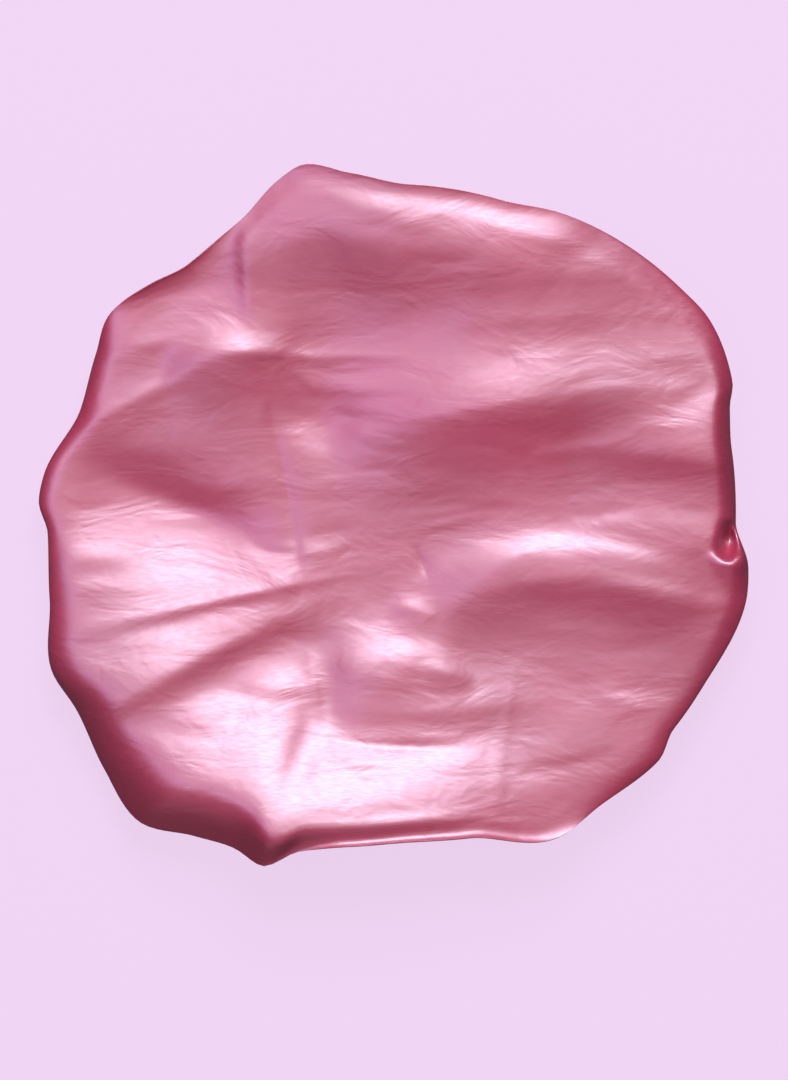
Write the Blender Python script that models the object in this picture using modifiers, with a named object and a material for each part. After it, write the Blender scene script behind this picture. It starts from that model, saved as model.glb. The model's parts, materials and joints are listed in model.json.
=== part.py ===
"""Satin sleep bonnet lying crown up on its gathered mouth.

One round of satin makes the crown. It lies puffed up in a rim round its sunken middle, rolls
under all round its edge and is gathered into a casing, a ruched tube that holds the elastic
round the mouth. Blender 4.5, metres, +Z up. The origin is on the surface, under the middle.
"""

import math
from collections import namedtuple

import bmesh
import bpy
import numpy as np

# The crown as it lies, outside sizes. RIM_HEIGHT is what the outline's heights and the folds'
# are shares of, and the cloth rolls in under the edge, its widest level, to the surface. The
# folds keep FOLDS_AT_EDGE of their height there and never take it below LOWEST_EDGE.
CROWN_WIDTH = 0.3403
CROWN_DEPTH = 0.3346
RIM_HEIGHT = 0.050
MIDDLE_HEIGHT = 0.026
ROLL_UNDER = 0.020
LOWEST_EDGE = 0.006
FOLDS_AT_EDGE = 0.4

# The cloth, and the casing that it is sewn to round the mouth.
CLOTH_WALL = 0.0012
MOUTH_RADIUS = 0.056
CASING_WIDTH = 0.012
CASING_THICKNESS = 0.0065
RUCHE_DEPTH = 0.0008
SEAM_GAP = 0.0003

# How far round the outline its corners are felt towards the middle.
CORNER_ROUNDING_DEG = 14

# The gathers that take the cloth in to the casing.
GATHER_COUNT = 20
GATHER_REACH = 0.055
GATHER_DEPTH = 0.0055

# How finely the cloth is divided: round it, over the middle, down the wall outside the rim,
# under the edge and along the surface.
STEPS_PER_GATHER = 4
MIDDLE_RINGS = 17
WALL_RINGS = 4
EDGE_RINGS = 3
UNDER_RINGS = 7
CASING_SIDES = 8

# The crown's edge seen from above, and the rim just inside it. reach is a share of the half
# width and half depth. wall is how far the rim's crest lies inside the edge, a share of the
# half width. edge and crest are their heights, shares of the rim's height. turn is 1 where the
# wall falls away evenly and less where it stands up at the edge.
Edge = namedtuple("Edge", "angle_deg reach wall edge crest turn")
OUTLINE = (
    Edge(11.2, 0.970, 0.08, 0.42, 0.58, 0.7),
    Edge(18.1, 0.995, 0.08, 0.44, 0.58, 0.7),
    Edge(22.0, 1.028, 0.08, 0.46, 0.58, 0.7),
    Edge(32.4, 1.051, 0.11, 0.50, 0.60, 0.7),
    Edge(38.8, 1.037, 0.12, 0.54, 0.62, 0.7),
    Edge(53.5, 1.004, 0.14, 0.64, 0.70, 0.8),
    Edge(61.4, 0.982, 0.15, 0.70, 0.76, 0.9),
    Edge(71.5, 0.948, 0.16, 0.72, 0.80, 1.1),
    Edge(87.2, 0.944, 0.16, 0.72, 0.80, 1.1),
    Edge(97.2, 0.985, 0.15, 0.71, 0.78, 1.1),
    Edge(104.3, 1.032, 0.14, 0.67, 0.73, 1.1),
    Edge(108.0, 1.014, 0.12, 0.65, 0.71, 0.9),
    Edge(117.3, 0.944, 0.12, 0.59, 0.65, 0.8),
    Edge(128.7, 0.918, 0.12, 0.50, 0.59, 0.7),
    Edge(136.3, 0.950, 0.17, 0.45, 0.59, 0.6),
    Edge(144.4, 0.983, 0.19, 0.42, 0.58, 0.6),
    Edge(151.0, 0.956, 0.18, 0.41, 0.56, 0.6),
    Edge(161.0, 0.931, 0.16, 0.40, 0.55, 0.6),
    Edge(173.3, 0.990, 0.13, 0.40, 0.54, 0.6),
    Edge(177.5, 0.998, 0.13, 0.40, 0.54, 0.6),
    Edge(183.0, 0.973, 0.12, 0.41, 0.55, 0.6),
    Edge(194.1, 0.996, 0.12, 0.41, 0.57, 0.6),
    Edge(205.7, 1.060, 0.15, 0.37, 0.62, 0.7),
    Edge(211.3, 1.052, 0.20, 0.32, 0.66, 0.8),
    Edge(221.9, 1.093, 0.26, 0.29, 0.74, 0.9),
    Edge(230.6, 1.134, 0.28, 0.28, 0.80, 1.0),
    Edge(238.7, 1.077, 0.24, 0.30, 0.82, 1.0),
    Edge(245.0, 1.053, 0.20, 0.38, 0.84, 1.0),
    Edge(249.6, 1.067, 0.17, 0.50, 0.84, 1.0),
    Edge(254.6, 0.993, 0.13, 0.68, 0.84, 1.0),
    Edge(262.6, 0.948, 0.10, 0.77, 0.84, 1.0),
    Edge(272.9, 0.929, 0.10, 0.76, 0.82, 1.0),
    Edge(283.2, 0.942, 0.11, 0.71, 0.78, 1.0),
    Edge(297.0, 1.029, 0.11, 0.60, 0.69, 0.9),
    Edge(305.5, 1.013, 0.10, 0.54, 0.64, 0.8),
    Edge(316.5, 1.025, 0.10, 0.50, 0.60, 0.8),
    Edge(322.2, 0.998, 0.09, 0.49, 0.58, 0.7),
    Edge(329.9, 0.999, 0.09, 0.48, 0.56, 0.7),
    Edge(345.4, 1.022, 0.08, 0.46, 0.55, 0.7),
    Edge(351.5, 1.010, 0.08, 0.42, 0.58, 0.7),
    Edge(359.0, 0.964, 0.08, 0.40, 0.60, 0.7),
)

# The crown's main folds, long heaps of cloth, or dents where lift is less than nothing. Each
# fades out at both ends of its line, whose places are shares of the half width and half
# depth. bow moves the line's middle to its left, and left and right are the breadths of its
# two flanks, shares of the half width. lift is a share of the rim's height. crisp is 0 on a
# soft fold and near 1 on a sharp one.
Fold = namedtuple("Fold", "name from_x from_y to_x to_y bow left right lift crisp")
FOLDS = (
    Fold("top rim", -0.66, 0.86, 0.86, 0.66, 0.05, 0.14, 0.15, 0.09, 0.0),
    Fold("upper middle ridge", -0.35, 0.20, 0.84, 0.37, 0.02, 0.22, 0.16, 0.26, 0.1),
    Fold("right plateau", 0.30, 0.19, 1.12, 0.11, 0.01, 0.26, 0.11, 0.12, 0.0),
    Fold("middle arc", 0.02, -0.27, 1.12, -0.37, 0.15, 0.19, 0.16, 0.23, 0.1),
    Fold("right rim", 0.90, 0.62, 0.93, -0.30, 0.01, 0.09, 0.18, 0.04, 0.0),
    Fold("left dent", -1.25, 0.25, -0.32, -0.10, 0.00, 0.12, 0.18, -0.18, 0.3),
    Fold("upper left heap", -0.69, 0.43, -0.24, 0.48, 0.01, 0.12, 0.13, 0.14, 0.3),
    Fold("lower left ridge", -1.03, -0.69, -0.09, -0.19, 0.02, 0.20, 0.09, 0.08, 0.3),
    Fold("bottom rim", -1.00, -0.90, 0.86, -0.96, -0.01, 0.24, 0.18, 0.24, 0.0),
    Fold("lower middle ridge", -0.26, -0.56, 0.50, -0.50, -0.02, 0.11, 0.09, 0.05, 0.2),
    Fold("lower middle heap", -0.26, -0.48, 0.19, -0.41, 0.00, 0.11, 0.09, 0.08, 0.1),
)

SATIN_COLOUR = (0.52, 0.14, 0.21)
CASING_COLOUR = (0.48, 0.12, 0.19)


def clear_scene():
    """Empty the scene, so that a second run starts afresh."""
    for obj in list(bpy.data.objects):
        bpy.data.objects.remove(obj)


def new_collection(name):
    """Make a collection in the scene."""
    collection = bpy.data.collections.new(name)
    bpy.context.scene.collection.children.link(collection)
    return collection


def cloth_material(name, colour, roughness):
    """Make a plain cloth material."""
    material = bpy.data.materials.new(name)
    material.use_nodes = True
    shader = material.node_tree.nodes["Principled BSDF"]
    shader.inputs["Base Color"].default_value = (*colour, 1)
    shader.inputs["Roughness"].default_value = roughness
    shader.inputs["Metallic"].default_value = 0
    return material


def read_round(values, at_deg):
    """Read the outline's values at any angle, on a smooth closed curve that never overshoots."""
    angles = np.array([edge.angle_deg for edge in OUTLINE])
    angles = np.append(angles, angles[0] + 360)
    values = np.append(values, values[0])
    steps = np.diff(angles)
    slopes = np.diff(values) / steps
    before = np.append(slopes[-1], slopes)
    after = np.append(slopes, slopes[0])
    same_way = before * after > 0
    total = np.where(same_way, before + after, 1.0)
    tangents = np.where(same_way, 2 * before * after / total, 0.0)
    at = angles[0] + np.mod(at_deg - angles[0], 360)
    i = np.clip(np.searchsorted(angles, at, side="right") - 1, 0, len(steps) - 1)
    t = (at - angles[i]) / steps[i]
    return (
        values[i] * (1 + 2 * t) * (1 - t) ** 2
        + values[i + 1] * t**2 * (3 - 2 * t)
        + steps[i] * (tangents[i] * t * (1 - t) ** 2 - tangents[i + 1] * t**2 * (1 - t))
    )


def step_directions():
    """The steps' directions round the bonnet, in degrees, the nearest moved onto each corner."""
    count = GATHER_COUNT * STEPS_PER_GATHER
    step = 360 / count
    directions = np.arange(count) * step
    for edge in OUTLINE:
        nearest = round(edge.angle_deg / step) % count
        directions[nearest] = edge.angle_deg - (360 if edge.angle_deg > 360 - step / 2 else 0)
    return directions


def smooth_step(share):
    """Rise smoothly from 0 to 1 as the share does."""
    share = np.clip(share, 0, 1)
    return share * share * (3 - 2 * share)


def read_column(name, at_deg):
    """Read one of the outline's columns at any angle."""
    return read_round(np.array([getattr(edge, name) for edge in OUTLINE]), at_deg)


def read_reach_without_corners(at_deg):
    """Read the outline's reach with its corners rounded away."""
    around = np.linspace(-3 * CORNER_ROUNDING_DEG, 3 * CORNER_ROUNDING_DEG, 25)
    weights = np.exp(-((around / CORNER_ROUNDING_DEG) ** 2))
    reach = read_column("reach", at_deg[:, None] + around)
    return (reach * weights).sum(1) / weights.sum()


def fold_height(plan):
    """How far the folds lift each place of the plan."""
    half_width = CROWN_WIDTH / 2
    half_size = np.array([CROWN_WIDTH, CROWN_DEPTH]) / 2
    height = np.zeros(len(plan))
    for fold in FOLDS:
        start = np.array([fold.from_x, fold.from_y]) * half_size
        end = np.array([fold.to_x, fold.to_y]) * half_size
        half_line = (end - start) / 2
        half_length = np.hypot(*half_line)
        offset = plan - (start + end) / 2
        along = offset @ half_line / half_length**2
        across = (offset[:, 1] * half_line[0] - offset[:, 0] * half_line[1]) / half_length
        across -= fold.bow * half_width * (1 - along**2)
        breadth = np.where(across > 0, fold.left, fold.right) * half_width
        profile = np.exp(-(np.abs(across / breadth) ** (2 - fold.crisp)))
        height += fold.lift * RIM_HEIGHT * profile * np.clip(1 - along**2, 0, 1) ** 1.5
    return height


def edge_plan(directions):
    """The crown's edge seen from above, exactly as wide and deep as it is named."""
    angles = np.radians(directions)
    reach = read_column("reach", directions)
    plan = np.column_stack([reach * np.cos(angles), reach * np.sin(angles)])
    low = plan.min(0)
    high = plan.max(0)
    return (plan - (low + high) / 2) / (high - low) * (CROWN_WIDTH, CROWN_DEPTH)


def middle_rings(edge, directions):
    """The rings over the sunken middle, up to the rim's crest."""
    crest_share = 1 - read_column("wall", directions) / read_column("reach", directions)
    crest_height = read_column("crest", directions) * RIM_HEIGHT
    even_reach = read_reach_without_corners(directions)
    corners = read_column("reach", directions) / even_reach
    rings = []
    for share in np.linspace(0, 1, MIDDLE_RINGS + 1):
        plan = edge * (crest_share * share)[:, None]
        nearness = smooth_step((share - 0.5) / 0.45)
        rise = np.clip(share * (nearness + (1 - nearness) * corners * crest_share), 0, 1) ** 3.2
        height = MIDDLE_HEIGHT + (crest_height - MIDDLE_HEIGHT) * (1 - (1 - rise) ** 2)
        rings.append(np.column_stack([plan, height + fold_height(plan)]))
    return rings


def wall_rings(edge, directions):
    """The rings from the rim's crest down to the edge, where the folds are lower."""
    wall_share = read_column("wall", directions) / read_column("reach", directions)
    crest_height = read_column("crest", directions) * RIM_HEIGHT
    edge_height = read_column("edge", directions) * RIM_HEIGHT
    turn = read_column("turn", directions)
    rings = []
    for angle in np.linspace(math.pi / 2, 0, WALL_RINGS + 1)[1:]:
        inward = 1 - math.cos(angle)
        plan = edge * (1 - wall_share * inward)[:, None]
        height = edge_height + (crest_height - edge_height) * (1 - (1 - inward) ** 3) ** turn
        kept = FOLDS_AT_EDGE + (1 - FOLDS_AT_EDGE) * smooth_step(1.6 * inward)
        height += kept * fold_height(plan)
        rings.append(np.column_stack([plan, np.maximum(height, LOWEST_EDGE)]))
    return rings


def roll_rings(edge, edge_height):
    """The rings under the edge, a quarter turn in and down to the surface."""
    reach = np.hypot(edge[:, 0], edge[:, 1])
    rings = []
    for turn in np.linspace(0, math.pi / 2, EDGE_RINGS + 1)[1:]:
        plan = edge * (1 - ROLL_UNDER * (1 - math.cos(turn)) / reach)[:, None]
        rings.append(np.column_stack([plan, edge_height * (1 - math.sin(turn))]))
    return rings


def under_rings(outer, directions):
    """The rings along the surface to the casing, in gathers that are sewn flat at the seam."""
    seam_radius = MOUTH_RADIUS + CASING_WIDTH + SEAM_GAP
    seam_height = (CASING_THICKNESS - CLOTH_WALL) / 2
    angles = np.radians(directions)
    seam = seam_radius * np.column_stack([np.cos(angles), np.sin(angles)])
    turn = 2 * math.pi * np.arange(len(directions)) / STEPS_PER_GATHER
    wave = (1 + np.cos(turn)) / 2
    rings = []
    for share in np.linspace(0, 1, UNDER_RINGS + 1)[1:]:
        plan = outer * (1 - share) + seam * share
        left = np.hypot(plan[:, 0], plan[:, 1]) - seam_radius
        nearness = np.clip(1 - left / GATHER_REACH, 0, 1)
        gathers = GATHER_DEPTH * np.sin(math.pi * nearness**1.5) * wave
        rings.append(np.column_stack([plan, gathers + seam_height * nearness**4]))
    return rings


def ring_and_step(place, ring_count, step_count):
    """Which ring and which step round it a point of a unit sphere lies on."""
    ring = round(math.acos(max(-1, min(1, place.z))) / math.pi * ring_count)
    step = round(math.atan2(place.y, place.x) / (2 * math.pi) * step_count)
    return ring, step % step_count


def build_crown(collection, material):
    """The round of satin: a sphere's rings laid along the crown's, open at the mouth."""
    directions = step_directions()
    edge = edge_plan(directions)
    rings = middle_rings(edge, directions) + wall_rings(edge, directions)
    rings += roll_rings(edge, rings[-1][:, 2])
    rings += under_rings(rings[-1][:, :2], directions)
    ring_count = len(rings)
    step_count = len(directions)
    shape = bmesh.new()
    bmesh.ops.create_uvsphere(shape, u_segments=step_count, v_segments=ring_count, radius=1)
    foot = [v for v in shape.verts if ring_and_step(v.co, ring_count, step_count)[0] == ring_count]
    bmesh.ops.delete(shape, geom=foot, context="VERTS")
    for vertex in shape.verts:
        ring, step = ring_and_step(vertex.co, ring_count, step_count)
        vertex.co = rings[ring][step]
    mesh = bpy.data.meshes.new("crown")
    shape.to_mesh(mesh)
    shape.free()
    mesh.shade_smooth()
    mesh.materials.append(material)
    crown = bpy.data.objects.new("crown", mesh)
    collection.objects.link(crown)
    wall = crown.modifiers.new("cloth wall", "SOLIDIFY")
    wall.thickness = CLOTH_WALL
    wall.offset = -1


def build_casing(collection, material):
    """The ruched tube round the mouth: a torus drawn out flat, with a ripple to each gather."""
    angles = np.radians(step_directions())
    step_count = len(angles)
    bpy.ops.mesh.primitive_torus_add(
        major_segments=step_count, minor_segments=CASING_SIDES, major_radius=1, minor_radius=0.5
    )
    casing = bpy.context.active_object
    casing.name = "elastic_casing"
    casing.data.name = "elastic_casing"
    for vertex in casing.data.vertices:
        x, y, z = vertex.co
        step = round(math.atan2(y, x) / (2 * math.pi) * step_count) % step_count
        ruche = 0 if step % STEPS_PER_GATHER == 0 else RUCHE_DEPTH
        radius = MOUTH_RADIUS + CASING_WIDTH / 2 + (math.hypot(x, y) - 1) * CASING_WIDTH
        vertex.co = (
            radius * math.cos(angles[step]),
            radius * math.sin(angles[step]),
            CASING_THICKNESS / 2 + z * (CASING_THICKNESS - 2 * ruche),
        )
    casing.data.shade_smooth()
    casing.data.materials.append(material)
    for owner in list(casing.users_collection):
        owner.objects.unlink(casing)
    collection.objects.link(casing)


def main():
    """Build the bonnet."""
    clear_scene()
    bonnet = new_collection("sleep_bonnet")
    build_crown(bonnet, cloth_material("satin", SATIN_COLOUR, 0.35))
    build_casing(bonnet, cloth_material("ruched satin", CASING_COLOUR, 0.4))


main()
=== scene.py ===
"""Satin sleep bonnet lying crown up on its gathered mouth, in a plain pale studio.

The frame gives the crown's box and the casing's. Every length is in metres, or a share of a
named size. +Z is up, +X to the right and +Y to the top of the picture.
"""

import json
import math
from collections import namedtuple

import bpy
import numpy as np
from mathutils import Vector
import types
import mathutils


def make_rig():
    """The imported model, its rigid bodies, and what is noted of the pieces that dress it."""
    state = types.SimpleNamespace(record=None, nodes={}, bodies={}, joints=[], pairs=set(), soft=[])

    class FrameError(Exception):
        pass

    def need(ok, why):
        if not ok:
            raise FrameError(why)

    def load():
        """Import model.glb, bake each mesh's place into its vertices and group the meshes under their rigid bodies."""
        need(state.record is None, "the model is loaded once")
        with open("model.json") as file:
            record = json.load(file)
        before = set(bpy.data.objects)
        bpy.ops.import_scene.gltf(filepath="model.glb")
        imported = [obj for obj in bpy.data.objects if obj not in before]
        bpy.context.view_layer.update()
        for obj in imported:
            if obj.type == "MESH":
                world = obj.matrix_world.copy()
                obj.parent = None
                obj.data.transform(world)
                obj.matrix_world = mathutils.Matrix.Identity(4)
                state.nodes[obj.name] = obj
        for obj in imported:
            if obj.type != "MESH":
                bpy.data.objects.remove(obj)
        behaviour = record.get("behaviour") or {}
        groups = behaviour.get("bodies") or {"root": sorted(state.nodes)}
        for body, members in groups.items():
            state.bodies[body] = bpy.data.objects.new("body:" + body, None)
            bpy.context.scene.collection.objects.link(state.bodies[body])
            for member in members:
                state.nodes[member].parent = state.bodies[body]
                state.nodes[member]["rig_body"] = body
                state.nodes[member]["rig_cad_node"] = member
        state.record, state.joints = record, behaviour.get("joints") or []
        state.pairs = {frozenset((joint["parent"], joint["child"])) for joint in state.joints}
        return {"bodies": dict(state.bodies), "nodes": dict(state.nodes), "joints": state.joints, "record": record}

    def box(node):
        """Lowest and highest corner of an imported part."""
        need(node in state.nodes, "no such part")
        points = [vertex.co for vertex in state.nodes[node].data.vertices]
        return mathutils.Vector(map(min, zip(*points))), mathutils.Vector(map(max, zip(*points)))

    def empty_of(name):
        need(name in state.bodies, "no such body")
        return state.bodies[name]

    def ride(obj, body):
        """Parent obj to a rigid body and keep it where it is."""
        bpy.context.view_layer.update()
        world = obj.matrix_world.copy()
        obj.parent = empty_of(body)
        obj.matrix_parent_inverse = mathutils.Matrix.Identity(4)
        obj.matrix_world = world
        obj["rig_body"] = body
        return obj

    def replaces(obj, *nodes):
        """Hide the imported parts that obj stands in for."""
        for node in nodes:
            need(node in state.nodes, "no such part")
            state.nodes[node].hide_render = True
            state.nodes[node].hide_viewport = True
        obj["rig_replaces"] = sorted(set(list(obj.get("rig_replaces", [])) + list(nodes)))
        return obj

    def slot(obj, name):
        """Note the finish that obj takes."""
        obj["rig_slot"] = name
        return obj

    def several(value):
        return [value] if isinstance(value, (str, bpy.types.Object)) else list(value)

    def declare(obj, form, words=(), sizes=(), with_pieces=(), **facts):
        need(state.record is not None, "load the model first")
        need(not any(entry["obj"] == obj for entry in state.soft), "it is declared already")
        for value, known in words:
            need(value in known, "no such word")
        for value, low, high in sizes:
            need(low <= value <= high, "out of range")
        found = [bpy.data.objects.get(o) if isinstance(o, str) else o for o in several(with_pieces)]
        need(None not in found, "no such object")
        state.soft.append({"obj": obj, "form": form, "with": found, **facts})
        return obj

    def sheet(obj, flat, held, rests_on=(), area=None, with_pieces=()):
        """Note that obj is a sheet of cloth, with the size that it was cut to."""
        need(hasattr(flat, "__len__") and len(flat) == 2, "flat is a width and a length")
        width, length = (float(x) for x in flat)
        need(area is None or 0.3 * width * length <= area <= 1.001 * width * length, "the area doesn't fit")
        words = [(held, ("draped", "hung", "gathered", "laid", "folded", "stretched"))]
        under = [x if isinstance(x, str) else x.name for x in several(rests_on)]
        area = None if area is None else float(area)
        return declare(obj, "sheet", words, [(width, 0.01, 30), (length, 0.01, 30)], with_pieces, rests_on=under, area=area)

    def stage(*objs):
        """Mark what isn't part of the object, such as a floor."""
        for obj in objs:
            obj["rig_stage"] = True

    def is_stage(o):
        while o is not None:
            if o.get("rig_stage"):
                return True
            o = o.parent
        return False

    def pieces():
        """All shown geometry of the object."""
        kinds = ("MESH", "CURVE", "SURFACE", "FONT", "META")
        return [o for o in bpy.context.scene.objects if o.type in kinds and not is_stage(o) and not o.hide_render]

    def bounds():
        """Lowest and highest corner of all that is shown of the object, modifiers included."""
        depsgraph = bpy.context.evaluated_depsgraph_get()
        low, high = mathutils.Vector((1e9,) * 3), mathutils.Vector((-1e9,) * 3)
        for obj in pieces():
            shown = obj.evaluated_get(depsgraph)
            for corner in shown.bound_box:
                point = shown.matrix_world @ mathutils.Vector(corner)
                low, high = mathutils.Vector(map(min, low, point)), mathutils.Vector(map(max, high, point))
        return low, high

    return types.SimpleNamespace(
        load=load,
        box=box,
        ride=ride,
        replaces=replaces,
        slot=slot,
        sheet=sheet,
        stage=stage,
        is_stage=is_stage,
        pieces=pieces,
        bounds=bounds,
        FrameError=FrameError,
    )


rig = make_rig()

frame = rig.load()
CAD_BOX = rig.bounds()
CROWN_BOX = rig.box("crown")
CASING_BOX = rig.box("elastic_casing")

bl_info = {
    "name": "Satin sleep bonnet",
    "version": (1, 0, 0),
    "blender": (4, 5, 0),
    "location": "View3D > Sidebar > Bonnet",
    "description": "Builds a satin sleep bonnet lying crown up, its casing and its studio",
    "category": "Add Mesh",
}

# The crown's edge seen from above, and the rim just inside it. reach is a share of the half
# width and half depth. wall is how far the rim's crest lies inside the edge, a share of the
# half width. edge and crest are their heights, shares of the rim's height. turn is 1 where the
# wall leans in evenly, and less where it stands up first.
Edge = namedtuple("Edge", "angle_deg reach wall edge crest turn")
OUTLINE = (
    Edge(11.2, 0.970, 0.08, 0.420, 0.580, 0.7),
    Edge(18.1, 0.995, 0.08, 0.440, 0.580, 0.7),
    Edge(22.0, 1.028, 0.08, 0.460, 0.580, 0.7),
    Edge(32.4, 1.051, 0.11, 0.500, 0.600, 0.7),
    Edge(38.8, 1.037, 0.12, 0.540, 0.620, 0.7),
    Edge(53.5, 1.004, 0.14, 0.640, 0.700, 0.8),
    Edge(61.4, 0.982, 0.14, 0.745, 0.750, 0.8),
    Edge(71.5, 0.948, 0.14, 0.810, 0.770, 0.9),
    Edge(87.2, 0.944, 0.14, 0.830, 0.770, 0.9),
    Edge(97.2, 0.985, 0.14, 0.800, 0.750, 0.9),
    Edge(104.3, 1.032, 0.13, 0.750, 0.720, 0.9),
    Edge(108.0, 1.014, 0.12, 0.690, 0.700, 0.9),
    Edge(117.3, 0.944, 0.10, 0.640, 0.640, 0.7),
    Edge(128.7, 0.918, 0.10, 0.640, 0.570, 0.7),
    Edge(136.3, 0.950, 0.10, 0.640, 0.555, 0.7),
    Edge(144.4, 0.983, 0.09, 0.520, 0.560, 0.7),
    Edge(151.0, 0.956, 0.08, 0.420, 0.550, 0.8),
    Edge(161.0, 0.931, 0.08, 0.400, 0.540, 0.8),
    Edge(173.3, 0.990, 0.13, 0.400, 0.540, 0.6),
    Edge(177.5, 0.998, 0.13, 0.400, 0.540, 0.6),
    Edge(183.0, 0.973, 0.12, 0.410, 0.550, 0.6),
    Edge(194.1, 0.996, 0.12, 0.410, 0.570, 0.6),
    Edge(205.7, 1.060, 0.12, 0.380, 0.610, 0.7),
    Edge(211.3, 1.052, 0.15, 0.330, 0.650, 0.8),
    Edge(221.9, 1.093, 0.21, 0.290, 0.700, 0.9),
    Edge(230.6, 1.134, 0.26, 0.280, 0.730, 1.0),
    Edge(238.7, 1.077, 0.24, 0.300, 0.740, 1.0),
    Edge(245.0, 1.053, 0.20, 0.380, 0.750, 1.0),
    Edge(249.6, 1.067, 0.15, 0.560, 0.745, 1.0),
    Edge(254.6, 0.993, 0.12, 0.740, 0.740, 0.9),
    Edge(262.6, 0.948, 0.10, 0.880, 0.730, 0.9),
    Edge(272.9, 0.929, 0.10, 0.870, 0.720, 0.9),
    Edge(283.2, 0.942, 0.10, 0.830, 0.700, 0.9),
    Edge(297.0, 1.029, 0.10, 0.700, 0.650, 0.9),
    Edge(305.5, 1.013, 0.10, 0.580, 0.630, 0.8),
    Edge(316.5, 1.025, 0.10, 0.500, 0.600, 0.8),
    Edge(322.2, 0.998, 0.09, 0.490, 0.580, 0.7),
    Edge(329.9, 0.999, 0.09, 0.480, 0.560, 0.7),
    Edge(345.4, 1.022, 0.08, 0.460, 0.550, 0.7),
    Edge(351.5, 1.010, 0.08, 0.420, 0.580, 0.7),
    Edge(359.0, 0.964, 0.08, 0.400, 0.600, 0.7),
)

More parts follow.
